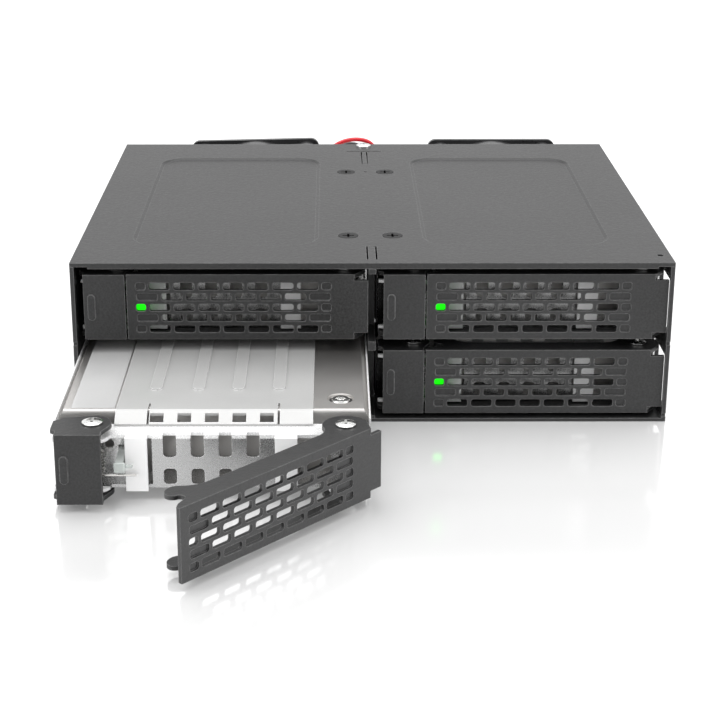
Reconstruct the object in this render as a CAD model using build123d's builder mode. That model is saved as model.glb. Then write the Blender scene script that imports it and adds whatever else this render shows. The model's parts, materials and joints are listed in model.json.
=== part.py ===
"""Hot swap drive cage: four 2.5-inch, 15 mm drives in one 5.25-inch half-height bay.

Frame: X right, Y from the front to the rear, Z up, millimetres.
Origin: centre of the housing's bottom face.
"""
from build123d import *
import math
import os

os.makedirs("parts", exist_ok=True)

# ---------------------------------------------------------------- driving dimensions
W, H, D = 146.0, 41.3, 122.0        # 5.25-inch half-height envelope and cage depth
YF = -D / 2                         # front plane
WALL = 1.0                          # side walls and cover sheet
BOT = 0.9                           # bottom sheet
DIV_F, DIV_W = 1.8, 1.2             # divider: front bars, web behind them
NOTCH = 12.8                        # how far the divider is set back beside the doors
BAY_Z = {"l": 1.9, "u": 21.45}      # height of each row's base
BAY_X = {"l": -72.0, "r": 0.9}      # left limit of each column
TRAY_OUT = 52.0                     # the lower left tray, as it is stored
DOOR_OPEN = 46.0                    # its door, as it is stored

DRV_W, DRV_L, DRV_H = 69.85, 100.45, 15.0
DRV_Y = 16.5                        # drive front, behind the front plane
DRV_X = 0.65                        # drive left side inside the bay
TRAY_L, TRAY_R = 0.25, 70.9         # tray width limits inside the bay
TSH = 0.8                           # tray sheet

DOOR_H = 16.65
FACE = 0.9                          # doors' and blocks' faces, behind the front plane
DP_X, DP_Y = 65.2, 6.2              # door pivot inside the bay
BP_X, BP_Y = 9.5, 7.6               # lock block pivot inside the bay
PIN_R, PIN_FIT = 1.5, 1.56

FAN = 40.0
FAN_T = 10.0
FAN_Z = 20.65
FAN_X = {"left": -33.3, "right": 40.3}
FAN_TILT = {"left": -1.3, "right": 0.0}
PANEL_Y = D - 1.0                   # rear panel, front face
PCB_Y, PCB_T = 119.3, 1.2

BAYS = {}
for col in ("l", "r"):
    for row in ("u", "l"):
        key = {"u": "upper", "l": "lower"}[row] + "_" + {"l": "left", "r": "right"}[col]
        BAYS[key] = (BAY_X[col], BAY_Z[row])


def fy(depth):
    """Depth behind the front plane as a Y value."""
    return YF + depth


def save(builder, name):
    builder.part.label = name
    export_step(builder.part, "parts/" + name + ".step")


# ---------------------------------------------------------------- housing shell
with BuildPart() as housing_shell:
    with BuildSketch(Plane.XY):
        Rectangle(W, D)
    extrude(amount=BOT)
    with BuildSketch(Plane.XY):
        with Locations((-(W - WALL) / 2, 0), ((W - WALL) / 2, 0)):
            Rectangle(WALL, D)
    extrude(amount=H - WALL)
    # inward flanges that the cover lies on
    with BuildSketch(Plane.XY.offset(H - 2 * WALL)):
        with Locations((-(W / 2 - 3.5), fy(66)), (W / 2 - 3.5, fy(66))):
            Rectangle(7.0, 104.0)
    extrude(amount=WALL)
    # mounting holes in both side walls: three columns, two heights
    with BuildSketch(Plane.YZ.offset(-W / 2)):
        with Locations(*[(fy(d), z) for d in (22.0, 52.4, 101.25) for z in (10.0, 21.84)]):
            Circle(1.5)
    extrude(amount=WALL + 0.01, mode=Mode.SUBTRACT)
    with BuildSketch(Plane.YZ.offset(W / 2)):
        with Locations(*[(fy(d), z) for d in (22.0, 52.4, 101.25) for z in (10.0, 21.84)]):
            Circle(1.5)
    extrude(amount=-WALL - 0.01, mode=Mode.SUBTRACT)
    # windows in the right wall for the ejector tabs
    with BuildSketch(Plane.YZ.offset(W / 2)):
        for z0 in BAY_Z.values():
            with Locations((fy((FACE + 13.2) / 2), z0 + 8.375)):
                RectangleRounded(13.2 - FACE, 14.0, 0.6)
    extrude(amount=-WALL - 0.01, mode=Mode.SUBTRACT)
    # relief nicks in the side walls' front edges
    with BuildSketch(Plane.YZ.offset(-W / 2 - 1)):
        with Locations((fy(0), 20.6), (fy(0), 1.7)):
            Rectangle(1.0, 0.9)
    extrude(amount=W + 2, mode=Mode.SUBTRACT)
    # air slots through the bottom sheet
    with BuildSketch(Plane.XY.offset(-0.01)):
        with Locations(*[(sx * x, fy(d)) for sx in (-1, 1) for x in (24.0, 36.4, 48.8) for d in (48.0, 82.0)]):
            SlotOverall(22.0, 4.4, rotation=90)
    extrude(amount=BOT + 0.02, mode=Mode.SUBTRACT)
save(housing_shell, "housing_shell")

# ---------------------------------------------------------------- top cover
EMB = 0.5                           # depth of the two sunk panels
EMB_C = [(-36.6, fy(59.75)), (36.6, fy(59.75))]
EMB_W, EMB_L = 46.8, 89.5
with BuildPart() as top_cover:
    with BuildSketch(Plane.XY.offset(H - WALL)):
        Rectangle(W, D)
    extrude(amount=WALL)
    # front lip, short of the corners
    with BuildSketch(Plane.XZ.offset(-YF)):
        with BuildLine():
            Polyline((-68.7, H - WALL + 0.01), (-68.7, H - 1.5), (69.0, H - 1.5), (69.0, H - WALL + 0.01), close=True)
        make_face()
    extrude(amount=-0.9)
    # sunk panels: pressed down, so the underside stands out by as much
    for c in EMB_C:
        with BuildSketch(Plane.XY.offset(H - WALL - EMB)):
            with Locations(c):
                RectangleRounded(EMB_W - 1.0, EMB_L - 1.0, 6.5)
        extrude(amount=EMB + 0.01)
    for c in EMB_C:
        with BuildSketch(Plane.XY.offset(H)):
            with Locations(c):
                RectangleRounded(EMB_W, EMB_L, 7.0)
        with BuildSketch(Plane.XY.offset(H - EMB)):
            with Locations(c):
                RectangleRounded(EMB_W - 1.8, EMB_L - 1.8, 6.1)
        loft(mode=Mode.SUBTRACT)
    # slots for the divider's tabs, and the cross slit behind the rear one
    with BuildSketch(Plane.XY.offset(H - 2)):
        with Locations((0, fy(8.4))):
            Rectangle(2.6, 10.8)
        with Locations((0, fy(104.7))):
            Rectangle(2.0, 14.8)
        with Locations((0, fy(112.7))):
            Rectangle(10.6, 0.7)
        with Locations((0, fy(88.0))):
            Circle(0.5)
        with Locations((70.4, fy(6.2))):
            Circle(0.8)
        with Locations((0, fy(118.8))):
            Circle(1.35)
    extrude(amount=3, mode=Mode.SUBTRACT)
    with Locations(*[Location((x, fy(y), H)) for x in (-5.6, 5.6) for y in (23.4, 87.8)]):
        CounterSinkHole(radius=1.6, counter_sink_radius=2.75, depth=3.0, counter_sink_angle=110)
save(top_cover, "top_cover")

# ---------------------------------------------------------------- divider
with BuildPart() as centre_divider:
    with BuildSketch(Plane.XZ.offset(-fy(NOTCH + 2.7))):
        with Locations((0, (BOT + H - WALL) / 2)):
            Rectangle(DIV_W, H - WALL - BOT)
    extrude(amount=-(117.2 - NOTCH - 2.7))
    with BuildSketch(Plane.XZ.offset(-fy(NOTCH))):
        with Locations((0, (BOT + H - WALL) / 2)):
            Rectangle(DIV_F, H - WALL - BOT)
    extrude(amount=-2.7)
    # bars that reach the front plane: bottom, middle and top
    with BuildSketch(Plane.XZ.offset(-YF)):
        for lo, hi in ((BOT, 1.6), (18.85, 21.15), (38.45, H - 1.5)):
            with Locations((0, (lo + hi) / 2)):
                Rectangle(DIV_F, hi - lo)
    extrude(amount=-NOTCH)
    with BuildSketch(Plane.XZ.offset(-fy(1.1))):
        with Locations((0, H - 1.25)):
            Rectangle(DIV_F, 0.5)
    extrude(amount=-(NOTCH - 1.1))
    # top flange that takes the cover screws
    with BuildSketch(Plane.XY.offset(H - 2 * WALL)):
        with Locations((0, fy(65.4))):
            Rectangle(18.4, 103.0)
    extrude(amount=WALL)
    # tabs that stand in the cover's slots, flush with its top
    with BuildSketch(Plane.XY.offset(H - WALL)):
        with Locations((0, fy(8.4))):
            Rectangle(DIV_F, 10.2)
        with Locations((0, fy(104.7))):
            Rectangle(DIV_W, 14.2)
    extrude(amount=WALL)
    with BuildSketch(Plane.XY.offset(H - 3)):
        with Locations(*[(x, fy(y)) for x in (-5.6, 5.6) for y in (23.4, 87.8)]):
            Circle(1.25)
    extrude(amount=2.5, mode=Mode.SUBTRACT)
    # air windows through the web
    with BuildSketch(Plane.YZ.offset(-2)):
        with Locations(*[(fy(d), z) for d in (45.0, 75.0) for z in (10.5, 30.0)]):
            SlotOverall(20.0, 6.0)
    extrude(amount=4, mode=Mode.SUBTRACT)
save(centre_divider, "centre_divider")

# ---------------------------------------------------------------- guide rails
with BuildPart() as guide_rails:
    for lo, hi in ((BOT, BAY_Z["l"] + 0.05), (BAY_Z["u"] - 0.75, BAY_Z["u"] + 0.05)):
        with BuildSketch(Plane.XY.offset(lo)):
            for x in (-W / 2 + WALL + 1.1, -DIV_W / 2 - 1.1, DIV_W / 2 + 1.1, W / 2 - WALL - 1.1):
                with Locations((x, fy(66.8))):
                    Rectangle(2.2, 102.0)
        extrude(amount=hi - lo)
save(guide_rails, "guide_rails")

# ---------------------------------------------------------------- rear panel
SOCK_X, SOCK_Z = (-4.2, 11.2), (10.5, 24.0)
SOCK_W, SOCK_H = 12.4, 9.8
PWR = [(-63.6, 20.65), (66.2, 22.9)]
HDR = [(-5.2, 34.9), (12.2, 34.9)]
SW = (63.2, 6.8)
with BuildPart() as rear_panel:
    with BuildSketch(Plane.XZ.offset(-fy(PANEL_Y))):
        with Locations((0, (BOT + H - WALL) / 2)):
            Rectangle(W - 2 * WALL, H - WALL - BOT)
        with Locations(*[(x, FAN_Z) for x in FAN_X.values()]):
            Circle(18.6, mode=Mode.SUBTRACT)
        with Locations(*[(x, z) for x in SOCK_X for z in SOCK_Z]):
            Rectangle(SOCK_W + 0.6, SOCK_H + 0.6, mode=Mode.SUBTRACT)
        with Locations(*PWR):
            Rectangle(8.2, 23.4, mode=Mode.SUBTRACT)
        with Locations(*HDR):
            Rectangle(6.6, 5.2, mode=Mode.SUBTRACT)
        with Locations(SW):
            Rectangle(4.8, 9.0, mode=Mode.SUBTRACT)
    extrude(amount=-1.0)
    for k in FAN_X:
        with BuildSketch(Plane(origin=(FAN_X[k], fy(PANEL_Y), FAN_Z), x_dir=Vector(1, 0, 0).rotate(Axis.Y, FAN_TILT[k]), z_dir=(0, -1, 0))):
            with GridLocations(32, 32, 2, 2):
                Circle(1.3)
        extrude(amount=-1.0, mode=Mode.SUBTRACT)
    # lug under the cover for the rear screw
    with BuildSketch(Plane.XY.offset(H - 2 * WALL)):
        with Locations((0, fy(119.2))):
            Rectangle(10.0, 3.6)
        with Locations((0, fy(118.8))):
            Circle(1.3, mode=Mode.SUBTRACT)
    extrude(amount=WALL)
save(rear_panel, "rear_panel")

# ---------------------------------------------------------------- backplane board and what it carries
REC_W, REC_H = 43.0, 7.2
REC_U, REC_Z = 35.6, 6.7            # receptacle centre inside each bay
with BuildPart() as backplane_board:
    with BuildSketch(Plane.XZ.offset(-fy(PCB_Y))):
        with Locations((0, 20.0)):
            Rectangle(142.4, 37.6)
        # airways above each row of receptacles
        for x0, z0 in BAYS.values():
            with Locations((x0 + 35.6, z0 + 14.4)):
                SlotOverall(48.0, 5.6, mode=Mode.SUBTRACT)
        with Locations(*[(x, z) for x in (-68.9, 68.9) for z in (4.2, 36.9)]):
            Circle(1.3, mode=Mode.SUBTRACT)
    extrude(amount=-PCB_T)
    # status lights soldered on the front side, one per bay
    for x0, z0 in BAYS.values():
        with BuildSketch(Plane.XZ.offset(-fy(PCB_Y))):
            with Locations((x0 + 15.6, z0 + 0.9)):
                Rectangle(1.8, 1.2)
        extrude(amount=0.7)
save(backplane_board, "backplane_board")

with BuildPart() as drive_receptacles:
    for x0, z0 in BAYS.values():
        with BuildSketch(Plane.XZ.offset(-fy(PCB_Y))):
            with Locations((x0 + REC_U, z0 + REC_Z)):
                RectangleRounded(REC_W, REC_H, 0.6)
        extrude(amount=1.9)
        with BuildSketch(Plane.XZ.offset(-fy(PCB_Y - 1.9))):
            with Locations((x0 + REC_U, z0 + REC_Z)):
                Rectangle(REC_W - 4.0, 2.4)
        extrude(amount=-1.6, mode=Mode.SUBTRACT)
save(drive_receptacles, "drive_receptacles")

with BuildPart() as data_sockets:
    for x in SOCK_X:
        for z in SOCK_Z:
            with BuildSketch(Plane.XZ.offset(-fy(PCB_Y + PCB_T))):
                with Locations((x, z)):
                    RectangleRounded(SOCK_W, SOCK_H, 0.8)
            extrude(amount=-8.6)
            with BuildSketch(Plane.XZ.offset(-fy(PCB_Y + PCB_T + 8.6))):
                with Locations((x, z)):
                    RectangleRounded(SOCK_W - 2.0, SOCK_H - 2.0, 0.5)
            extrude(amount=7.6, mode=Mode.SUBTRACT)
            # key slot in the top wall, contact blade inside
            with BuildSketch(Plane.XZ.offset(-fy(PCB_Y + PCB_T + 8.6))):
                with Locations((x, z + SOCK_H / 2 - 0.5)):
                    Rectangle(3.0, 1.2)
            extrude(amount=5.0, mode=Mode.SUBTRACT)
            with BuildSketch(Plane.XZ.offset(-fy(PCB_Y + PCB_T + 0.9))):
                with Locations((x, z + 1.5)):
                    Rectangle(7.6, 0.9)
            extrude(amount=-5.2)
save(data_sockets, "data_sockets")

with BuildPart() as power_sockets:
    for x, z in PWR:
        with BuildSketch(Plane.XZ.offset(-fy(PCB_Y + PCB_T))):
            with Locations((x, z)):
                RectangleRounded(7.4, 22.6, 0.6)
        extrude(amount=-8.0)
        with BuildSketch(Plane.XZ.offset(-fy(PCB_Y + PCB_T + 8.0))):
            with Locations((x, z)):
                Rectangle(5.9, 20.8)
        extrude(amount=6.6, mode=Mode.SUBTRACT)
        with BuildSketch(Plane.XZ.offset(-fy(PCB_Y + PCB_T + 1.3))):
            with Locations((x - 2.2, z)):
                Rectangle(1.0, 17.6)
        extrude(amount=-5.4)
save(power_sockets, "power_sockets")

with BuildPart() as fan_headers:
    for x, z in HDR:
        with BuildSketch(Plane.XZ.offset(-fy(PCB_Y + PCB_T))):
            with Locations((x, z)):
                Rectangle(6.0, 4.6)
        extrude(amount=-3.0)
save(fan_headers, "fan_headers")

with BuildPart() as fan_plugs:
    for x, z in HDR:
        with BuildSketch(Plane.XZ.offset(-fy(PCB_Y + PCB_T + 3.0))):
            with Locations((x, z)):
                RectangleRounded(5.6, 4.0, 0.4)
        extrude(amount=-4.0)
        with BuildSketch(Plane.XZ.offset(-fy(PCB_Y + PCB_T + 7.0))):
            with Locations((x - 1.25, z), (x + 1.25, z)):
                Circle(0.95)
        extrude(amount=-0.6)
save(fan_plugs, "fan_plugs")

with BuildPart() as switch_body:
    with BuildSketch(Plane.XZ.offset(-fy(PCB_Y + PCB_T))):
        with Locations(SW):
            Rectangle(4.2, 8.4)
    extrude(amount=-2.6)
    with BuildSketch(Plane.XZ.offset(-fy(PCB_Y + PCB_T + 2.6))):
        with Locations(SW):
            Rectangle(2.2, 5.6)
    extrude(amount=1.2, mode=Mode.SUBTRACT)
save(switch_body, "switch_body")

# the knob travels 2.4 mm, and is stored at the low end
with BuildPart() as fan_switch_knob:
    with BuildSketch(Plane.XZ.offset(-fy(PCB_Y + PCB_T + 1.7))):
        with Locations((SW[0], SW[1] - 1.2)):
            Rectangle(1.5, 2.4)
    extrude(amount=-2.9)
    chamfer(fan_switch_knob.faces().sort_by(Axis.Y)[-1].edges(), 0.25)
save(fan_switch_knob, "fan_switch_knob")

with BuildPart() as board_standoffs:
    # flat spacers between the board and the rear panel, each with its screw head
    for x in (-68.9, 68.9):
        for z in (4.2, 36.9):
            with BuildSketch(Plane.XZ.offset(-fy(PCB_Y + PCB_T))):
                with Locations((x, z)):
                    Circle(2.4)
            extrude(amount=-(PANEL_Y - PCB_Y - PCB_T))
            with BuildSketch(Plane.XZ.offset(-fy(PCB_Y + PCB_T))):
                with Locations((x, z)):
                    Circle(1.3)
            extrude(amount=PCB_T)
            with BuildSketch(Plane.XZ.offset(-fy(PCB_Y))):
                with Locations((x, z)):
                    Circle(2.3)
            extrude(amount=1.0)
save(board_standoffs, "board_standoffs")

# ---------------------------------------------------------------- fans
for side in ("left", "right"):
    fan_plane = Plane(origin=(FAN_X[side], fy(D), FAN_Z), x_dir=Vector(1, 0, 0).rotate(Axis.Y, FAN_TILT[side]), z_dir=(0, 1, 0))
    with BuildPart() as fan_frame:
        # flanges front and rear, barrel between them, corner bosses
        with BuildSketch(fan_plane):
            RectangleRounded(FAN, FAN, 2.6)
        extrude(amount=1.7)
        with BuildSketch(fan_plane.offset(FAN_T - 1.7)):
            RectangleRounded(FAN, FAN, 2.6)
        extrude(amount=1.7)
        with BuildSketch(fan_plane.offset(1.7)):
            Circle(19.75)
            with GridLocations(32, 32, 2, 2):
                Circle(3.3)
        extrude(amount=FAN_T - 3.4)
        with BuildSketch(fan_plane.offset(-0.01)):
            Circle(18.6)
            with GridLocations(32, 32, 2, 2):
                Circle(1.3)
        extrude(amount=FAN_T + 0.02, mode=Mode.SUBTRACT)
        # motor plate and its three struts, at the rear
        with BuildSketch(fan_plane.offset(FAN_T - 1.3)):
            Circle(9.6)
            with PolarLocations(14.2, 3, start_angle=20):
                Rectangle(10.4, 2.6)
        extrude(amount=1.3)
        with BuildSketch(fan_plane.offset(FAN_T - 1.9)):
            Circle(1.45)
        extrude(amount=0.7)
        with BuildSketch(fan_plane.offset(1.5)):
            Circle(1.1)
        extrude(amount=FAN_T - 3.0)
        # lug that the leads come out of
        with BuildSketch(fan_plane.offset(1.6)):
            with Locations((18.6 if side == "left" else -18.6, -10.4)):
                Rectangle(2.8, 6.8)
        extrude(amount=FAN_T - 3.2)
    save(fan_frame, "fan_frame_" + side)

    with BuildPart() as fan_impeller:
        with BuildSketch(fan_plane.offset(0.5)):
            Circle(9.4)
        extrude(amount=7.4)
        for k in range(7):
            a = math.radians(k * 360 / 7)
            root = fan_plane.from_local_coords(Vector(9.0 * math.cos(a), 9.0 * math.sin(a), 4.2))
            radial = fan_plane.from_local_coords(Vector(math.cos(a), math.sin(a), 0)) - fan_plane.origin
            across = fan_plane.from_local_coords(Vector(-math.sin(a), math.cos(a), 0)) - fan_plane.origin
            blade_plane = Plane(origin=root, x_dir=across, z_dir=radial)
            with BuildSketch(blade_plane):
                with BuildLine():
                    ThreePointArc((-3.6, -2.9), (0.5, -0.6), (3.4, 2.9))
                    Line((3.4, 2.9), (3.0, 3.2))
                    ThreePointArc((3.0, 3.2), (0.1, 0.2), (-4.0, -2.5))
                    Line((-4.0, -2.5), (-3.6, -2.9))
                make_face()
            extrude(amount=9.0)
        # trim the tips round, and bore the hub for the shaft
        with BuildSketch(fan_plane):
            Circle(30.0)
            Circle(17.9, mode=Mode.SUBTRACT)
        extrude(amount=FAN_T, mode=Mode.SUBTRACT)
        with BuildSketch(fan_plane.offset(1.2)):
            Circle(1.15)
        extrude(amount=8.0, mode=Mode.SUBTRACT)
    save(fan_impeller, "fan_impeller_" + side)

with BuildPart() as fan_screws:
    for side in ("left", "right"):
        rear = Plane(origin=(FAN_X[side], fy(D + FAN_T), FAN_Z), x_dir=Vector(1, 0, 0).rotate(Axis.Y, FAN_TILT[side]), z_dir=(0, 1, 0))
        with BuildSketch(rear):
            with GridLocations(32, 32, 2, 2):
                Circle(2.4)
        extrude(amount=1.2)
        with BuildSketch(rear):
            with GridLocations(32, 32, 2, 2):
                Circle(1.3)
        extrude(amount=-(FAN_T + 1.0))
        with BuildSketch(rear.offset(1.2)):
            with GridLocations(32, 32, 2, 2):
                Rectangle(2.4, 0.5)
                Rectangle(0.5, 2.4)
        extrude(amount=-0.6, mode=Mode.SUBTRACT)
save(fan_screws, "fan_screws")

# ---------------------------------------------------------------- cover screws: four countersunk, one pan-head
with BuildPart() as cover_screws:
    for x in (-5.6, 5.6):
        for d in (23.4, 87.8):
            with BuildSketch(Plane(origin=(x, fy(d), 0), x_dir=(1, 0, 0), z_dir=(0, -1, 0))):
                with BuildLine():
                    Polyline((0, H - 2.0), (1.25, H - 2.0), (1.25, H - 0.95), (2.5, H - 0.14), (2.5, H - 0.02), (0, H - 0.02), close=True)
                make_face()
            revolve(axis=Axis((x, fy(d), 0), (0, 0, 1)))
            with BuildSketch(Plane(origin=(x, fy(d), H - 0.02), x_dir=(1, 0, 0), z_dir=(0, 0, 1))):
                Rectangle(2.9, 0.55)
                Rectangle(0.55, 2.9)
            extrude(amount=-0.7, mode=Mode.SUBTRACT)
    with BuildSketch(Plane(origin=(0, fy(118.8), 0), x_dir=(1, 0, 0), z_dir=(0, -1, 0))):
        with BuildLine():
            Polyline((0, H - 1.8), (1.3, H - 1.8), (1.3, H), (2.2, H), (2.2, H + 0.5))
            ThreePointArc((2.2, H + 0.5), (1.25, H + 0.95), (0, H + 1.05))
            Line((0, H + 1.05), (0, H - 1.8))
        make_face()
    revolve(axis=Axis((0, fy(118.8), 0), (0, 0, 1)))
    with BuildSketch(Plane(origin=(0, fy(118.8), H + 1.1), x_dir=(1, 0, 0), z_dir=(0, 0, 1))):
        Rectangle(2.4, 0.5)
        Rectangle(0.5, 2.4)
    extrude(amount=-0.7, mode=Mode.SUBTRACT)
save(cover_screws, "cover_screws")

# ---------------------------------------------------------------- fan leads
LEAD_D = 1.3
LEADS = {
    "fan_lead_red_left": [(-13.4, 66.6, 33.0), (-11.6, 67.2, 36.9), (-7.6, 67.9, 40.2), (-2.6, 68.3, 41.3), (1.8, 68.3, 40.6), (4.1, 68.3, 37.9), (2.6, 68.3, 35.0), (-0.9, 68.1, 34.0), (-3.95, 66.6, 34.9)],
    "fan_lead_black_left": [(-13.4, 68.6, 30.2), (-11.4, 70.2, 34.0), (-8.2, 71.2, 37.6), (-3.8, 71.5, 39.2), (0.4, 71.3, 37.9), (1.2, 71.2, 34.4), (-1.4, 71.0, 31.9), (-4.9, 70.4, 32.2), (-6.45, 66.6, 34.9)],
    "fan_lead_red_right": [(20.4, 66.6, 30.4), (18.3, 68.6, 32.6), (17.0, 72.2, 34.6), (14.4, 75.4, 35.9), (10.4, 76.4, 36.1), (6.9, 74.9, 35.2), (6.3, 71.6, 33.6), (9.0, 69.7, 32.6), (12.2, 69.6, 33.4), (13.45, 66.6, 34.9)],
    "fan_lead_black_right": [(20.4, 68.6, 29.2), (18.0, 70.9, 30.6), (16.4, 74.6, 31.9), (13.2, 77.2, 33.2), (9.0, 77.6, 34.2), (5.4, 75.6, 34.9), (4.4, 72.0, 35.4), (6.6, 69.5, 36.2), (9.8, 69.0, 36.3), (10.95, 66.6, 34.9)],
}
PLUG_END_Y = fy(PCB_Y + PCB_T + 7.6)


def lead_radii(points):
    """One radius per corner: 0.45 of the shorter run over the tangent of half the turn."""
    out = []
    for a, b, c in zip(points, points[1:], points[2:]):
        r1, r2 = Vector(b) - Vector(a), Vector(c) - Vector(b)
        out.append(0.45 * min(r1.length, r2.length) / math.tan(math.radians(r1.get_angle(r2) / 2)))
    return out


for name, pts in LEADS.items():
    pts = [Vector(*p) for p in pts]
    pts[-1] = Vector(pts[-1].X, PLUG_END_Y, pts[-1].Z)
    radii = lead_radii([tuple(p) for p in pts])
    with BuildPart() as lead:
        with BuildLine() as route:
            FilletPolyline(*pts, radius=radii)
        with BuildSketch(Plane(origin=pts[0], z_dir=pts[1] - pts[0])):
            Circle(LEAD_D / 2)
        sweep(path=route.wires()[0])
    length = route.wires()[0].length
    turns = [(b - a).get_angle(c - b) for a, b, c in zip(pts, pts[1:], pts[2:])]
    print(name, "length", round(length, 1), "volume ratio", round(lead.part.volume / (math.pi * LEAD_D ** 2 / 4 * length), 4),
          "radii", [round(r, 1) for r in radii], "turns", [round(t) for t in turns],
          "runs", [round((b - a).length, 1) for a, b in zip(pts, pts[1:])])
    save(lead, name)

# ================================================================ masters of the four bays
# Tray masters are drawn at the bay's left limit and base, closed. Door and block masters
# are drawn around their own pivots.

with BuildPart() as tray_master:
    # floor, open under the drive, stepped up at the front so that the door and block swing under it
    with BuildSketch(Plane.XY.offset(0.2)):
        with BuildLine():
            Polyline((TRAY_L, fy(12.6)), (TRAY_R, fy(12.6)), (TRAY_R, fy(116.0)), (TRAY_L, fy(116.0)), close=True)
        make_face()
        with Locations((15.6, fy(65.2))):
            Rectangle(2.4, 102.0, mode=Mode.SUBTRACT)
        with Locations((38.0, fy(38.0)), (38.0, fy(64.0)), (38.0, fy(90.0))):
            RectangleRounded(34.0, 20.0, 4.0, mode=Mode.SUBTRACT)
        with Locations((8.6, fy(45.0)), (8.6, fy(64.0)), (8.6, fy(83.0)), (62.9, fy(45.0)), (62.9, fy(64.0)), (62.9, fy(83.0))):
            SlotOverall(14.0, 5.0, rotation=90, mode=Mode.SUBTRACT)
    extrude(amount=TSH)
    with BuildSketch(Plane.XY.offset(1.35)):
        with BuildLine():
            Polyline((0.75, fy(13.4)), (0.75, fy(5.2)), (2.2, fy(4.9)), (5.2, fy(6.6)), (BP_X, fy(6.6)), (13.6, fy(7.0)),
                     (16.7, fy(7.0)), (16.7, fy(5.0)), (21.6, fy(5.0)), (21.6, fy(7.0)), (49.6, fy(7.0)), (49.6, fy(5.0)),
                     (54.6, fy(5.0)), (54.6, fy(7.0)), (61.0, fy(7.0)), (65.2, fy(7.6)), (68.3, fy(9.4)), (68.3, fy(12.6)),
                     (TRAY_R, fy(12.6)), (TRAY_R, fy(13.4)), close=True)
        make_face()
        with Locations((BP_X, fy(BP_Y))):
            Circle(3.9)
        with Locations((DP_X, fy(DP_Y))):
            Circle(3.8)
    extrude(amount=TSH)
    with BuildSketch(Plane.XY.offset(0.2)):
        with Locations(((TRAY_L + TRAY_R) / 2, fy(13.0))):
            Rectangle(TRAY_R - TRAY_L, 0.8)
    extrude(amount=1.95)
    # side walls
    with BuildSketch(Plane.XY.offset(0.2)):
        with Locations(((TRAY_L + DRV_X) / 2, fy(64.3)), ((DRV_X + DRV_W + TRAY_R) / 2, fy(64.3))):
            Rectangle(0.4, 103.4)
    extrude(amount=15.4)
    # top lip
    with BuildSketch(Plane.XY.offset(13.2)):
        with BuildLine():
            Polyline((0.75, fy(12.6)), (0.75, fy(5.2)), (2.2, fy(4.9)), (5.2, fy(6.6)), (BP_X, fy(6.6)), (13.6, fy(7.0)),
                     (16.7, fy(7.0)), (16.7, fy(5.0)), (21.6, fy(5.0)), (21.6, fy(7.0)), (49.6, fy(7.0)), (49.6, fy(5.0)),
                     (54.6, fy(5.0)), (54.6, fy(7.0)), (61.0, fy(7.0)), (65.2, fy(7.6)), (68.3, fy(9.4)), (68.3, fy(12.6)),
                     (TRAY_R, fy(12.6)), (TRAY_R, fy(13.2)), (TRAY_L, fy(13.2)), (TRAY_L, fy(12.6)), close=True)
        make_face()
        with Locations((BP_X, fy(BP_Y))):
            Circle(3.9)
        with Locations((DP_X, fy(DP_Y))):
            Circle(3.8)
    extrude(amount=TSH)
    # front wall between the posts, posts, and the deeper left part behind the lock block
    with BuildSketch(Plane.XZ.offset(-fy(7.0))):
        with Locations((36.0, 7.85)):
            Rectangle(27.2, 12.3)
    extrude(amount=-TSH)
    with BuildSketch(Plane.XZ.offset(-fy(5.0))):
        with Locations((19.15, 7.85), (52.1, 7.85)):
            Rectangle(4.9, 12.3)
    extrude(amount=-TSH)
    with BuildSketch(Plane.XZ.offset(-fy(12.3))):
        with Locations((9.4, 6.9)):
            Rectangle(17.3, 13.4)
        with Locations((66.0, 6.9)):
            Rectangle(8.0, 13.4)
    extrude(amount=-TSH)
    # post returns to the front wall
    with BuildSketch(Plane.XY.offset(1.7)):
        with Locations((17.1, fy(6.4)), (54.2, fy(6.4))):
            Rectangle(0.8, 2.8)
    extrude(amount=12.3)
    # U-slots: the upper row is open at the top and bites into the lip
    with BuildSketch(Plane.XZ.offset(-fy(6.9))):
        for k in range(4):
            with Locations((26.35 + 6.15 * k, 11.6)):
                RectangleRounded(2.9, 5.8, 0.9)
            with Locations((26.35 + 6.15 * k, 4.05)):
                RectangleRounded(2.9, 3.7, 0.9)
    extrude(amount=-1.6, mode=Mode.SUBTRACT)
    # light pipe passage and wiring hole
    with BuildSketch(Plane.XZ.offset(-fy(12.0))):
        with Locations((15.6, 8.2)):
            Rectangle(2.4, 2.3)
        with Locations((12.4, 9.6)):
            Circle(1.1)
    extrude(amount=-1.6, mode=Mode.SUBTRACT)
    # pivot holes
    with BuildSketch(Plane.XY.offset(0)):
        with Locations((BP_X, fy(BP_Y)), (DP_X, fy(DP_Y))):
            Circle(PIN_R)
    extrude(amount=16, mode=Mode.SUBTRACT)
    # countersunk holes for the drive screws
    for x in (4.72, 66.43):
        for d in (26.35, 102.95):
            with BuildSketch(Plane(origin=(x, fy(d), 0), x_dir=(1, 0, 0), z_dir=(0, -1, 0))):
                with BuildLine():
                    Polyline((0, 0.1), (2.8, 0.1), (1.5, 1.1), (0, 1.1), close=True)
                make_face()
            revolve(axis=Axis((x, fy(d), 0), (0, 0, 1)), mode=Mode.SUBTRACT)

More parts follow.
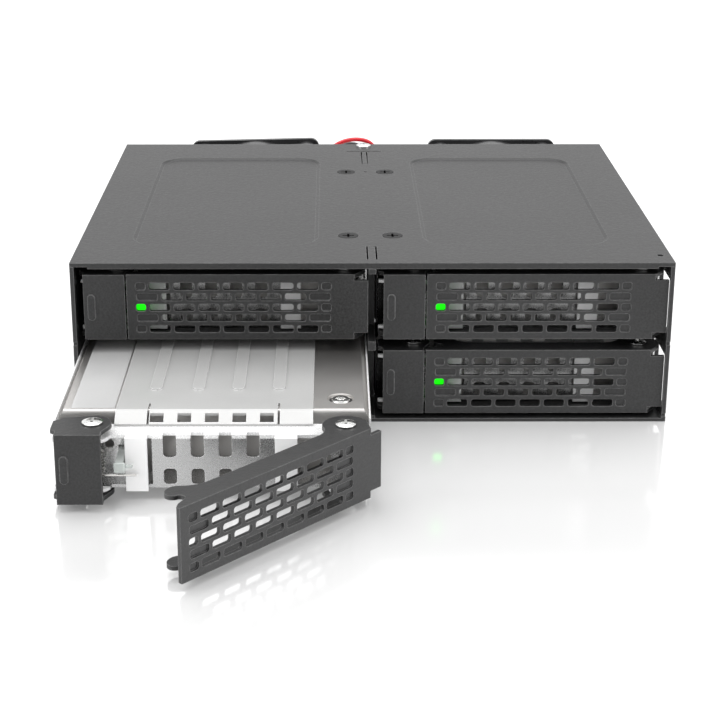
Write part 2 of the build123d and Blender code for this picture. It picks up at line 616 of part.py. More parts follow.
with BuildPart() as screws_master:
    # shoulder screws: door pivot, block pivot (top and bottom of each)
    for x, d, zc, ztop, zlow in ((DP_X, DP_Y, 15.6, 16.85, -0.05), (BP_X, BP_Y, 15.5, 16.75, -0.1)):
        with BuildSketch(Plane(origin=(x, fy(d), 0), x_dir=(1, 0, 0), z_dir=(0, -1, 0))):
            with BuildLine():
                Polyline((0, 13.2), (PIN_R, 13.2), (PIN_R, 14.0), (2.2, 14.0), (2.2, zc), (PIN_R, zc), (PIN_R, ztop), (2.3, ztop), (2.3, ztop + 0.25))
                ThreePointArc((2.3, ztop + 0.25), (1.3, ztop + 0.56), (0, ztop + 0.65))
                Line((0, ztop + 0.65), (0, 13.2))
            make_face()
        revolve(axis=Axis((x, fy(d), 0), (0, 0, 1)))
        with BuildSketch(Plane(origin=(x, fy(d), ztop + 0.7), x_dir=(1, 0, 0), z_dir=(0, 0, 1))):
            Rectangle(2.6, 0.55)
            Rectangle(0.55, 2.6)
        extrude(amount=-0.5, mode=Mode.SUBTRACT)
        with BuildSketch(Plane(origin=(x, fy(d), 0), x_dir=(1, 0, 0), z_dir=(0, -1, 0))):
            with BuildLine():
                Polyline((0, zlow - 0.4), (2.0, zlow - 0.4), (2.3, zlow - 0.15), (2.3, zlow), (PIN_R, zlow), (PIN_R, 2.15), (0, 2.15), close=True)
            make_face()
        revolve(axis=Axis((x, fy(d), 0), (0, 0, 1)))
    # upright pin between the lock block's screws, inside the spring's coil
    with BuildSketch(Plane.XY.offset(2.1)):
        with Locations((BP_X, fy(BP_Y))):
            Circle(PIN_R)
    extrude(amount=11.2)
    # countersunk drive screws
    for x in (4.72, 66.43):
        for d in (26.35, 102.95):
            with BuildSketch(Plane(origin=(x, fy(d), 0), x_dir=(1, 0, 0), z_dir=(0, -1, 0))):
                with BuildLine():
                    Polyline((0, 0.22), (2.6, 0.22), (1.45, 1.0), (1.45, 3.6), (0, 3.6), close=True)
                make_face()
            revolve(axis=Axis((x, fy(d), 0), (0, 0, 1)))

with BuildPart() as spring_master:
    # torsion spring round the lock block's pivot line, between the tray's step and lip
    with BuildLine() as coil:
        Helix(pitch=0.75, height=4.125, radius=2.1, center=(BP_X, fy(BP_Y), 5.6))
    with BuildSketch(Plane(origin=coil.line @ 0, z_dir=coil.line % 0)):
        Circle(0.3)
    sweep(path=coil.line, is_frenet=True)
    # front leg: forward from the coil's lower end, then to the right past the post
    with BuildSketch(Plane.XZ.offset(-fy(BP_Y + 0.1))):
        with Locations((BP_X + 2.1, 5.6)):
            Circle(0.25)
    extrude(amount=BP_Y + 0.1 - 4.3)
    with BuildSketch(Plane.YZ.offset(BP_X + 1.8)):
        with Locations((fy(4.35), 5.6)):
            Circle(0.29)
    extrude(amount=7.9)
    # leg at the upper end, forward to the block's inner face
    with BuildSketch(Plane.XZ.offset(-fy(BP_Y + 0.1))):
        with Locations((BP_X - 2.1, 5.6 + 4.125)):
            Circle(0.25)
    extrude(amount=BP_Y + 0.1 - 3.0)

with BuildPart() as pipe_master:
    with BuildSketch(Plane.YZ.offset(14.7)):
        with BuildLine():
            Polyline((fy(115.8), 0.25), (fy(115.8), 0.95), (fy(15.9), 0.95), (fy(15.9), 8.2), (fy(14.9), 9.2), (fy(2.6), 9.2),
                     (fy(2.6), 7.2), (fy(13.7), 7.2), (fy(14.5), 6.4), (fy(14.5), 0.25), close=True)
        make_face()
    extrude(amount=1.75)

with BuildPart() as drive_case_master:
    with BuildSketch(Plane.XZ.offset(-fy(DRV_Y))):
        with Locations((DRV_X + DRV_W / 2, 1.0 + DRV_H / 2)):
            Rectangle(DRV_W, DRV_H)
    extrude(amount=-DRV_L)
    top_edges = drive_case_master.faces().sort_by(Axis.Z)[-1].edges()
    chamfer(top_edges.filter_by(Axis.Y), 1.9, 1.1)
    fillet(drive_case_master.faces().sort_by(Axis.Z)[-1].edges().filter_by(Axis.X).sort_by(Axis.Y)[0], 0.8)
    # pocket for the connector, screw recess, bottom screw holes
    with BuildSketch(Plane.XZ.offset(-fy(DRV_Y + DRV_L))):
        with Locations((REC_U, REC_Z)):
            Rectangle(REC_W - 1.0, 6.6)
    extrude(amount=5.0, mode=Mode.SUBTRACT)
    with BuildSketch(Plane.XY.offset(1.0 + DRV_H)):
        with Locations((64.2, fy(23.4))):
            Circle(3.1)
    extrude(amount=-0.7, mode=Mode.SUBTRACT)
    with BuildSketch(Plane.XY.offset(0.9)):
        with Locations(*[(x, fy(d)) for x in (4.72, 66.43) for d in (26.35, 102.95)]):
            Circle(1.45)
    extrude(amount=2.8, mode=Mode.SUBTRACT)
    # front vents behind the lid's sloping windows
    with BuildSketch(Plane.XZ.offset(-fy(DRV_Y))):
        for k in range(5):
            with Locations((23.05 + 6.15 * k, 12.6)):
                RectangleRounded(3.2, 2.6, 0.5)
    extrude(amount=-0.8, mode=Mode.SUBTRACT)

with BuildPart() as drive_lid_master:
    # raised plate; its front bends down over the drive's front edge
    with BuildSketch(Plane.YZ.offset(13.7)):
        with BuildLine():
            Polyline((fy(115.5), 16.0), (fy(115.5), 16.6), (fy(15.6), 16.6), (fy(14.6), 16.3), (fy(11.9), 14.55),
                     (fy(11.9), 14.05), (fy(12.3), 14.05), (fy(14.8), 15.7), (fy(15.7), 16.0), close=True)
        make_face()
    extrude(amount=44.3)
    # four embossed ribs
    with BuildSketch(Plane.XY.offset(16.6)):
        for x in (21.6, 31.4, 40.6, 50.0):
            with Locations((x, fy(68.8))):
                SlotOverall(84.0, 2.8, rotation=90)
    extrude(amount=0.35)
    # five windows in the slope, and the two slits beside them
    with BuildSketch(Plane.XY.offset(13.0)):
        for k in range(5):
            with Locations((23.05 + 6.15 * k, fy(13.35))):
                Rectangle(3.1, 2.1)
        with Locations((21.1, fy(15.2)), (50.3, fy(15.2))):
            Rectangle(0.5, 8.0)
    extrude(amount=5.0, mode=Mode.SUBTRACT)

with BuildPart() as drive_plug_master:
    with BuildSketch(Plane.XZ.offset(-fy(DRV_Y + DRV_L - 5.0))):
        with Locations((REC_U, REC_Z)):
            Rectangle(REC_W - 1.4, 6.2)
    extrude(amount=-4.4)
    with BuildSketch(Plane.XZ.offset(-fy(DRV_Y + DRV_L - 0.6))):
        with Locations((REC_U, REC_Z)):
            Rectangle(REC_W - 5.4, 1.5)
    extrude(amount=-2.1)

# ---- door, around its pivot: face towards -Y, free end towards -X
DL = 12.4 - DP_X                    # left end
DR = 71.0 - DP_X                    # right end, the ejector tab
DF = FACE - DP_Y                    # face
with BuildPart() as door_master:
    with BuildSketch(Plane.XZ.offset(-DF)):
        with BuildLine():
            Polyline((DL, 0.05), (2.45, 0.05), (2.45, 1.7), (DR, 1.7), (DR, 15.1), (2.45, 15.1), (2.45, DOOR_H + 0.05),
                     (DL, DOOR_H + 0.05), close=True)
        make_face()
    extrude(amount=-1.0)
    # flanges: straight rear edge, round ear at the right, hook at the left
    for z in (0.05, DOOR_H - 0.95):
        with BuildSketch(Plane.XY.offset(z)):
            with BuildLine():
                Polyline((DL, DF), (2.45, DF), (4.9, -1.8), (5.2, 0.0))
                ThreePointArc((5.2, 0.0), (0.9, 5.12), (-4.1, 3.2))
                ThreePointArc((-4.1, 3.2), (-5.6, 1.1), (-8.0, 0.2))
                Line((-8.0, 0.2), (-40.5, 0.2))
                ThreePointArc((-40.5, 0.2), (-43.6, 1.0), (-45.8, 2.6))
                ThreePointArc((-45.8, 2.6), (-48.4, 3.5), (-50.3, 2.2))
                ThreePointArc((-50.3, 2.2), (-50.3, 0.5), (-48.9, -0.4))
                ThreePointArc((-48.9, -0.4), (-48.4, -1.6), (-49.2, -2.6))
                Polyline((-49.2, -2.6), (-51.6, -3.4), (DL, -4.3), (DL, DF))
            make_face()
        extrude(amount=1.0)
        with BuildSketch(Plane.XY.offset(z)):
            Circle(PIN_FIT)
        extrude(amount=1.0, mode=Mode.SUBTRACT)
    # vents: five rows of slots, short ones at the row ends
    with BuildSketch(Plane.XZ.offset(-DF)):
        for row, zc in enumerate((13.65, 10.95, 8.25, 5.6, 2.75)):
            if row % 2 == 0:
                for k in range(7):
                    with Locations((DL + 7.95 + 6.0 * k, zc)):
                        RectangleRounded(5.1, 1.87, 0.6)
                if row == 2:
                    with Locations((DL + 3.4, zc)):
                        RectangleRounded(2.4, 1.87, 0.6)
            else:
                for k in range(1, 7):
                    with Locations((DL + 4.95 + 6.0 * k, zc)):
                        RectangleRounded(5.1, 1.87, 0.6)
    extrude(amount=-1.0, mode=Mode.SUBTRACT)
    # blind slots at the rows' ends
    with BuildSketch(Plane.XZ.offset(-DF)):
        for row, zc in enumerate((13.65, 10.95, 8.25, 5.6, 2.75)):
            if row % 2 == 0:
                with Locations((DL + 48.5, zc)):
                    RectangleRounded(2.4, 1.87, 0.6)
                if row != 2:
                    with Locations((DL + 3.4, zc)):
                        RectangleRounded(2.4, 1.87, 0.6)
            else:
                with Locations((DL + 4.95, zc), (DL + 46.95, zc)):
                    RectangleRounded(5.1, 1.87, 0.6)
    extrude(amount=-0.45, mode=Mode.SUBTRACT)

# ---- lock block, around its pivot
BL, BR = 1.9 - BP_X, 12.0 - BP_X
BF = FACE - BP_Y
with BuildPart() as block_master:
    with BuildSketch(Plane.XZ.offset(-BF)):
        with Locations(((BL + BR) / 2, 8.3)):
            Rectangle(BR - BL, 16.6)
    extrude(amount=-1.0)
    for z in (0.0, 15.6):
        with BuildSketch(Plane.XY.offset(z)):
            with BuildLine():
                Polyline((BL, BF), (BR, BF), (BR, -4.6), (3.55, -2.25))
                ThreePointArc((3.55, -2.25), (2.97, 2.97), (-0.5, 4.17))
                Polyline((-0.5, 4.17), (-6.2, 3.3), (-8.8, 1.2), (-8.8, -3.4), (BL, -4.4), (BL, BF))
            make_face()
        extrude(amount=1.0)
        with BuildSketch(Plane.XY.offset(z)):
            Circle(PIN_FIT)
        extrude(amount=1.0, mode=Mode.SUBTRACT)
    # grip rib on the face
    with BuildSketch(Plane.XZ.offset(-BF)):
        with Locations((BL + 1.9, 8.3)):
            SlotOverall(6.6, 1.8, rotation=90)
    extrude(amount=0.35)

# ================================================================ placing
MASTERS = {
    "tray_frame": tray_master, "tray_screws": screws_master, "latch_spring": spring_master, "light_pipe": pipe_master,
    "drive_case": drive_case_master, "drive_lid": drive_lid_master, "drive_plug": drive_plug_master,
}
for bay, (x0, z0) in BAYS.items():
    out = TRAY_OUT if bay == "lower_left" else 0.0
    turn = DOOR_OPEN if bay == "lower_left" else 0.0
    for piece, master in MASTERS.items():
        with BuildPart() as placed:
            add(master.part.moved(Location((x0, -out, z0))))
        save(placed, piece + "_" + bay)
    with BuildPart() as placed_door:
        add(door_master.part.moved(Location((x0 + DP_X, fy(DP_Y) - out, z0), (0, 0, turn))))
    save(placed_door, "door_" + bay)
    with BuildPart() as placed_block:
        add(block_master.part.moved(Location((x0 + BP_X, fy(BP_Y) - out, z0))))
    save(placed_block, "lock_block_" + bay)
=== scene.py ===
import json
import math

import bpy
import bmesh
from mathutils import Matrix, Vector


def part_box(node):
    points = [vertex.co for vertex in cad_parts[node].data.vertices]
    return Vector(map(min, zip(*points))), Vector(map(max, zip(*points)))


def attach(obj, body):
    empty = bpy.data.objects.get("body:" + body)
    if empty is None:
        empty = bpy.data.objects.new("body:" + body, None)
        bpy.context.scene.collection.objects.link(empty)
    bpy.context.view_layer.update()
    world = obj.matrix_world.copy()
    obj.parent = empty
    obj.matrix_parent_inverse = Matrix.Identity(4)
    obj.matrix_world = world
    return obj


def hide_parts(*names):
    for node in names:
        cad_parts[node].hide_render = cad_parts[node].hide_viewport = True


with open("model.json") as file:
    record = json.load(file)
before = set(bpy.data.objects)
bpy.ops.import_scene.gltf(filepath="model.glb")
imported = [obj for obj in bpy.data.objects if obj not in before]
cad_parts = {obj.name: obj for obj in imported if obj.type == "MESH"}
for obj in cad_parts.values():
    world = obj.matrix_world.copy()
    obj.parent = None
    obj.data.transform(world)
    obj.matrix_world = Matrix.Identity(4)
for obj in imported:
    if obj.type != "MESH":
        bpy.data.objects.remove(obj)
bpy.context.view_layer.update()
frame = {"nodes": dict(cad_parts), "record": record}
nodes = frame["nodes"]
scene = bpy.context.scene

BAYS = ("upper_left", "lower_left", "upper_right", "lower_right")
BAY_X = {"upper_left": -0.0720, "lower_left": -0.0720, "upper_right": 0.0009, "lower_right": 0.0009}
BAY_Z = {"upper_left": 0.02145, "lower_left": 0.0019, "upper_right": 0.02145, "lower_right": 0.0019}
FRONT = -0.061
OUT = {b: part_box("tray_frame_upper_left")[0].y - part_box("tray_frame_" + b)[0].y for b in BAYS}


# ---------------------------------------------------------------- camera
cam_data = bpy.data.cameras.new("camera")
cam = bpy.data.objects.new("camera", cam_data)
scene.collection.objects.link(cam)
cam.location = (-0.00997, -0.44697, 0.16318)
cam.rotation_euler = (math.pi / 2 - 0.3293, 0.0, -0.0027)
cam_data.sensor_width = 36.0
cam_data.lens = 84.144
cam_data.shift_x = 0.0341
cam_data.shift_y = -0.0798
cam_data.clip_start = 0.01
cam_data.clip_end = 20.0
scene.camera = cam


# ---------------------------------------------------------------- node helpers
class Mat:
    """A procedural material: helpers that add nodes in the row frame's own coordinates."""

    def __init__(self, name):
        self.mat = bpy.data.materials.new(name)
        self.mat.use_nodes = True
        self.tree = self.mat.node_tree
        self.tree.nodes.clear()
        self.out = self.add("ShaderNodeOutputMaterial")
        self.bsdf = self.add("ShaderNodeBsdfPrincipled")
        self.link(self.bsdf.outputs[0], self.out.inputs[0])
        self.coord = self.add("ShaderNodeTexCoord").outputs["Object"]

    def add(self, kind, **values):
        n = self.tree.nodes.new(kind)
        for k, v in values.items():
            setattr(n, k, v)
        return n

    def link(self, a, b):
        self.tree.links.new(a, b)

    def put(self, **values):
        names = {"color": "Base Color", "metal": "Metallic", "rough": "Roughness", "ior": "IOR", "alpha": "Alpha",
                 "coat": "Coat Weight", "coat_rough": "Coat Roughness", "spec": "Specular IOR Level",
                 "trans": "Transmission Weight", "aniso": "Anisotropic", "emit": "Emission Strength",
                 "emit_color": "Emission Color", "sub": "Subsurface Weight"}
        for k, v in values.items():
            s = self.bsdf.inputs[names[k]]
            if hasattr(v, "is_linked") or isinstance(v, bpy.types.NodeSocket):
                self.link(v, s)
            elif k.endswith("color") and len(v) == 3:
                s.default_value = (*v, 1.0)
            else:
                s.default_value = v
        return self

    def scaled(self, x=1.0, y=1.0, z=1.0, rot=(0, 0, 0)):
        m = self.add("ShaderNodeMapping")
        m.inputs["Scale"].default_value = (x, y, z)
        m.inputs["Rotation"].default_value = rot
        self.link(self.coord, m.inputs["Vector"])
        return m.outputs[0]

    def noise(self, scale, detail=2.0, rough=0.5, vector=None, distort=0.0):
        n = self.add("ShaderNodeTexNoise")
        n.inputs["Scale"].default_value = scale
        n.inputs["Detail"].default_value = detail
        n.inputs["Roughness"].default_value = rough
        n.inputs["Distortion"].default_value = distort
        self.link(vector or self.coord, n.inputs["Vector"])
        return n.outputs["Fac"]

    def voronoi(self, scale, vector=None, feature="F1", out="Distance", random=1.0):
        n = self.add("ShaderNodeTexVoronoi", feature=feature)
        n.inputs["Scale"].default_value = scale
        n.inputs["Randomness"].default_value = random
        self.link(vector or self.coord, n.inputs["Vector"])
        return n.outputs[out]

    def ramp(self, fac, *stops, mode="LINEAR"):
        n = self.add("ShaderNodeValToRGB")
        r = n.color_ramp
        r.interpolation = mode
        while len(r.elements) < len(stops):
            r.elements.new(0.5)
        for e, (p, c) in zip(r.elements, stops):
            e.position = p
            e.color = (*c, 1.0) if len(c) == 3 else c
        self.link(fac, n.inputs[0])
        return n.outputs[0]

    def span(self, fac, lo, hi, a=0.0, b=1.0, smooth=False):
        n = self.add("ShaderNodeMapRange")
        n.interpolation_type = "SMOOTHSTEP" if smooth else "LINEAR"
        for i, v in zip(("From Min", "From Max", "To Min", "To Max"), (lo, hi, a, b)):
            n.inputs[i].default_value = v
        self.link(fac, n.inputs["Value"])
        return n.outputs[0]

    def math(self, op, a, b=None, clamp=False):
        n = self.add("ShaderNodeMath", operation=op, use_clamp=clamp)
        for i, v in enumerate((a, b)):
            if v is None:
                continue
            if isinstance(v, bpy.types.NodeSocket):
                self.link(v, n.inputs[i])
            else:
                n.inputs[i].default_value = v
        return n.outputs[0]

    def mix(self, fac, a, b, mode="MIX"):
        n = self.add("ShaderNodeMix", data_type="RGBA", blend_type=mode)
        for s, v in ((n.inputs["Factor"], fac), (n.inputs["A"], a), (n.inputs["B"], b)):
            pass
        ins = [n.inputs[0], n.inputs[6], n.inputs[7]]
        for s, v in zip(ins, (fac, a, b)):
            if isinstance(v, bpy.types.NodeSocket):
                self.link(v, s)
            elif isinstance(v, (int, float)):
                s.default_value = v
            else:
                s.default_value = (*v, 1.0) if len(v) == 3 else v
        return n.outputs[2]

    def axis(self, which):
        n = self.add("ShaderNodeSeparateXYZ")
        self.link(self.coord, n.inputs[0])
        return n.outputs["XYZ".index(which)]

    def edge(self):
        """How convex the mesh is here, for wear along edges."""
        return self.add("ShaderNodeNewGeometry").outputs["Pointiness"]

    def rounded(self, radius=0.0002, samples=4):
        """Normals rounded over the edges, and how far they turn there."""
        b = self.add("ShaderNodeBevel", samples=samples)
        b.inputs["Radius"].default_value = radius
        dot = self.add("ShaderNodeVectorMath", operation="DOT_PRODUCT")
        self.link(b.outputs[0], dot.inputs[0])
        self.link(self.add("ShaderNodeNewGeometry").outputs["Normal"], dot.inputs[1])
        return b.outputs[0], self.span(dot.outputs["Value"], 0.998, 0.86)

    def bump(self, *layers, normal=None):
        """layers are (height, distance in metres, strength)."""
        for height, distance, strength in layers:
            b = self.add("ShaderNodeBump")
            b.inputs["Distance"].default_value = distance
            b.inputs["Strength"].default_value = strength
            self.link(height, b.inputs["Height"])
            if normal is not None:
                self.link(normal, b.inputs["Normal"])
            normal = b.outputs[0]
        self.link(normal, self.bsdf.inputs["Normal"])
        return self


# ---------------------------------------------------------------- materials
def powder(name, dark, light, rough=0.40, grain=1900.0, rim=0.22):
    """Fine-textured black powder coat, with a painted highlight that lightens it along its edges."""
    m = Mat(name)
    fine = m.noise(grain, 3.0, 0.65)
    mid = m.noise(grain * 0.45, 2.0, 0.5)
    large = m.noise(24.0, 3.0, 0.5)
    normal, edge = m.rounded(0.0003)
    tone = m.ramp(fine, (0.36, dark), (0.66, light))
    tone = m.mix(m.span(large, 0.3, 0.7, 0.0, 0.3), tone, tuple(c * 1.3 for c in light))
    # painted highlight: the edges are lightened towards the rim tone, broken up by noise
    tone = m.mix(m.math("MULTIPLY", edge, m.span(mid, 0.3, 0.7, 0.45, 1.0)), tone, (rim, rim, rim))
    m.put(color=tone, rough=m.span(fine, 0.3, 0.7, rough - 0.05, rough + 0.09), spec=0.5)
    return m.bump((mid, 0.00016, 0.5), (fine, 0.00006, 0.6), normal=normal).mat


def sheet_metal(name, base, rough=0.3, along="y"):
    """Bright plated sheet with a faint rolling grain and cloudy passivation."""
    m = Mat(name)
    s = {"x": (60, 2600, 2600), "y": (2600, 60, 2600), "z": (2600, 2600, 60)}[along]
    grain = m.noise(1.0, 2.0, 0.5, m.scaled(*s))
    cloud = m.noise(90.0, 4.0, 0.55)
    spots = m.voronoi(420.0)
    tone = m.ramp(cloud, (0.3, tuple(c * 0.9 for c in base)), (0.7, base))
    tone = m.mix(m.span(spots, 0.0, 0.9, 0.10, 0.0), tone, tuple(c * 0.78 for c in base))
    m.put(color=tone, metal=1.0, rough=m.span(grain, 0.3, 0.7, rough - 0.05, rough + 0.09))
    return m.bump((cloud, 0.0001, 0.12), (grain, 0.00002, 0.18)).mat


def ear_shade_mask(m):
    """1 on the narrow ears left of the lock blocks, which sit in the cage's shadow; painted shade goes there."""
    x = m.axis("X")
    left = m.span(x, BAY_X["upper_left"] + 0.0030, BAY_X["upper_left"] + 0.0032, 1.0, 0.0)
    right = m.math("MULTIPLY", m.span(x, BAY_X["upper_right"] - 0.001, BAY_X["upper_right"] - 0.0008),
                   m.span(x, BAY_X["upper_right"] + 0.0030, BAY_X["upper_right"] + 0.0032, 1.0, 0.0))
    return m.math("MAXIMUM", left, right)


def tray_sheet(name, out):
    """The tray's plated sheet; the faces of its two posts are painted white. Its front wall carries painted shade and
    its edges a painted highlight; the open tray's top lip gets a painted highlight, and the closed trays' ears get
    painted shade.
    """
    m = Mat(name)
    grain = m.noise(3200.0, 1.0, 0.5)
    cloud = m.noise(90.0, 4.0, 0.55)
    normal, edge = m.rounded(0.00018)
    post = m.span(m.axis("Y"), FRONT + 0.00585 - out, FRONT + 0.00605 - out, 1.0, 0.0)
    metal = m.ramp(cloud, (0.3, (0.60, 0.60, 0.60)), (0.7, (0.70, 0.70, 0.70)))
    # painted shade: the front wall is darkened, to near black in the closed bays
    front_wall_shade = m.span(m.axis("Y"), FRONT + 0.0069 - out, FRONT + 0.0079 - out, 0.0, 1.0)
    metal = m.mix(m.math("MULTIPLY", m.math("SUBTRACT", 1.0, front_wall_shade), 0.8), metal, (0.34, 0.34, 0.34) if out else (0.10, 0.10, 0.10))
    # painted highlight along the edges
    metal = m.mix(m.math("MULTIPLY", edge, 0.7), metal, (0.92, 0.92, 0.92))
    shine = m.span(post, 0.0, 1.0, 1.0, 0.0)
    if out:
        # painted highlight: the open tray's top lip is made pale and less metallic
        lip_highlight = m.span(m.axis("Z"), BAY_Z["lower_left"] + 0.0130, BAY_Z["lower_left"] + 0.0132)
        metal = m.mix(lip_highlight, metal, (0.84, 0.84, 0.84))
        shine = m.math("MULTIPLY", shine, m.span(lip_highlight, 0.0, 1.0, 1.0, 0.25))
    else:
        # painted shade: the ears in the closed bays are made nearly black
        ear_shade = m.math("MULTIPLY", m.span(m.axis("Y"), FRONT + 0.0150, FRONT + 0.0180, 1.0, 0.0), ear_shade_mask(m))
        metal = m.mix(ear_shade, metal, (0.015, 0.015, 0.015))
    paint = m.ramp(cloud, (0.3, (0.80, 0.80, 0.80)), (0.7, (0.84, 0.84, 0.84)))
    m.put(color=m.mix(post, metal, paint), metal=shine,
          rough=m.math("ADD", m.span(grain, 0.3, 0.7, 0.25, 0.285), m.math("MULTIPLY", post, 0.2)))
    return m.bump((grain, 0.000004, 0.1), normal=normal).mat


def lid_metal(name, shade=1.0):
    """Pale, bead-blasted and clear-coated lid: softer and lighter than the case. Its edges carry a painted highlight,
    and a shade below 1 darkens it as painted shade.
    """
    m = Mat(name)
    fine = m.noise(3000.0, 3.0, 0.6)
    cloud = m.noise(50.0, 3.0, 0.5)
    normal, edge = m.rounded(0.00022)
    tone = m.ramp(cloud, (0.3, (0.44, 0.44, 0.436)), (0.7, (0.49, 0.49, 0.485)))
    # painted highlight along the edges
    tone = m.mix(m.math("MULTIPLY", edge, 0.8), tone, (0.98, 0.98, 0.98))
    # painted shade: a shade below 1 darkens the lid
    tone = m.mix(1.0 - shade, tone, (0.03, 0.03, 0.03))
    m.put(color=tone, metal=0.35, rough=m.span(fine, 0.3, 0.7, 0.38, 0.50))
    return m.bump((fine, 0.00002, 0.4), normal=normal).mat


def paper(name):
    """Bare label stock: pale, faintly mottled, with a satin film."""
    m = Mat(name)
    fibre = m.noise(1800.0, 4.0, 0.6)
    cloud = m.noise(70.0, 3.0, 0.5)
    tone = m.ramp(cloud, (0.3, (0.42, 0.42, 0.42)), (0.7, (0.46, 0.46, 0.458)))
    m.put(color=tone, rough=m.span(fibre, 0.3, 0.7, 0.32, 0.44), coat=0.2)
    return m.bump((fibre, 0.00001, 0.3)).mat


def cover_screw_metal(name):
    """Black screws in the cover; the pan screw at the rear is bright."""
    m = Mat(name)
    fine = m.noise(4000.0, 2.0, 0.5)
    rear = m.span(m.axis("Y"), 0.0500, 0.0510, 0.0, 1.0)
    black = m.ramp(fine, (0.3, (0.020, 0.020, 0.020)), (0.7, (0.045, 0.045, 0.046)))
    bright = m.ramp(fine, (0.3, (0.70, 0.70, 0.70)), (0.7, (0.86, 0.86, 0.86)))
    m.put(color=m.mix(rear, black, bright), metal=1.0, rough=m.math("SUBTRACT", m.span(fine, 0.3, 0.7, 0.50, 0.60), m.math("MULTIPLY", rear, 0.28)))
    return m.bump((fine, 0.00001, 0.3)).mat


def lamp(name):
    """A green status lamp seen through its clear tip: bright centre, deeper rim."""
    m = Mat(name)
    facing = m.add("ShaderNodeLayerWeight")
    facing.inputs["Blend"].default_value = 0.35
    core = m.ramp(facing.outputs["Facing"], (0.0, (0.01, 1.0, 0.005)), (0.6, (0.0, 0.30, 0.0)))
    m.put(color=m.ramp(m.noise(900.0), (0.3, (0.0, 0.05, 0.0)), (0.7, (0.0, 0.08, 0.0))), emit_color=core, emit=1.25, rough=0.5, spec=0.1)
    return m.mat


def cast_metal(name, base, rough=0.38):
    """Bead-blasted aluminium: an even fine grain."""
    m = Mat(name)
    fine = m.noise(3200.0, 3.0, 0.6)
    cloud = m.noise(60.0, 3.0, 0.5)
    tone = m.ramp(cloud, (0.3, tuple(c * 0.93 for c in base)), (0.7, base))
    m.put(color=tone, metal=1.0, rough=m.span(fine, 0.3, 0.7, rough - 0.05, rough + 0.07))
    return m.bump((fine, 0.00002, 0.4)).mat


def screw_metal(name, base, rough=0.2):
    """Turned and plated: rings of tool marks fade into a smooth plate."""
    m = Mat(name)
    fine = m.noise(4000.0, 2.0, 0.5)
    turn = m.noise(1.0, 1.0, 0.5, m.scaled(300, 300, 6000))
    tone = m.ramp(fine, (0.3, tuple(c * 0.85 for c in base)), (0.7, base))
    m.put(color=tone, metal=1.0, rough=m.span(turn, 0.3, 0.7, rough - 0.05, rough + 0.08))
    return m.bump((turn, 0.00002, 0.25)).mat


def plastic(name, base, rough=0.42, grain=1500.0, depth=0.00002, coat=0.0):
    """Moulded plastic with a spark-eroded texture."""
    m = Mat(name)
    fine = m.noise(grain, 3.0, 0.55)
    flow = m.noise(45.0, 2.0, 0.5)
    tone = m.ramp(flow, (0.3, tuple(c * 0.86 for c in base)), (0.7, tuple(min(1.0, c * 1.12) for c in base)))
    m.put(color=tone, rough=m.span(fine, 0.3, 0.7, rough - 0.05, rough + 0.07), coat=coat)
    return m.bump((fine, depth, 0.4)).mat


def rubbery(name, base, rough=0.36):
    """Smooth wire insulation, slightly waxy."""
    m = Mat(name)
    wave = m.noise(700.0, 2.0, 0.5)
    tone = m.ramp(m.noise(260.0, 2.0, 0.5), (0.3, tuple(c * 0.82 for c in base)), (0.7, base))
    m.put(color=tone, rough=m.span(wave, 0.3, 0.7, rough - 0.06, rough + 0.08), coat=0.15)
    return m.bump((wave, 0.00003, 0.2)).mat


def solder_mask(name):
    """Green board: copper tracks show as slightly raised, lighter lines."""
    m = Mat(name)
    bricks = m.add("ShaderNodeTexBrick")
    bricks.inputs["Scale"].default_value = 1.0
    bricks.inputs["Brick Width"].default_value = 5.3
    bricks.inputs["Row Height"].default_value = 0.9
    bricks.inputs["Mortar Size"].default_value = 0.16
    bricks.inputs["Mortar Smooth"].default_value = 0.2
    bricks.inputs["Color1"].default_value = (0, 0, 0, 1)
    bricks.inputs["Color2"].default_value = (0.25, 0.25, 0.25, 1)
    bricks.inputs["Mortar"].default_value = (1, 1, 1, 1)
    swap = m.add("ShaderNodeCombineXYZ")
    sep = m.add("ShaderNodeSeparateXYZ")
    m.link(m.scaled(620, 620, 620), sep.inputs[0])
    m.link(sep.outputs[0], swap.inputs[0])
    m.link(sep.outputs[2], swap.inputs[1])
    m.link(swap.outputs[0], bricks.inputs["Vector"])
    lines = bricks.outputs["Color"]
    cloud = m.noise(120.0, 2.0, 0.5)
    tone = m.mix(m.span(lines, 0.2, 1.0, 0.0, 1.0), (0.008, 0.06, 0.028), (0.02, 0.14, 0.06))
    tone = m.mix(m.span(cloud, 0.3, 0.7, 0.0, 0.25), tone, (0.01, 0.05, 0.03))
    m.put(color=tone, rough=m.span(cloud, 0.3, 0.7, 0.22, 0.32), coat=0.3)
    return m.bump((lines, 0.00003, 0.5)).mat


def clear_pipe(name):
    """Clear moulded bar with faint flow lines."""
    m = Mat(name)
    flow = m.noise(500.0, 2.0, 0.5)
    m.put(color=m.ramp(flow, (0.3, (0.72, 0.76, 0.74)), (0.7, (0.82, 0.86, 0.84))), rough=0.14, trans=0.6, ior=1.49)
    return m.bump((flow, 0.00002, 0.2)).mat


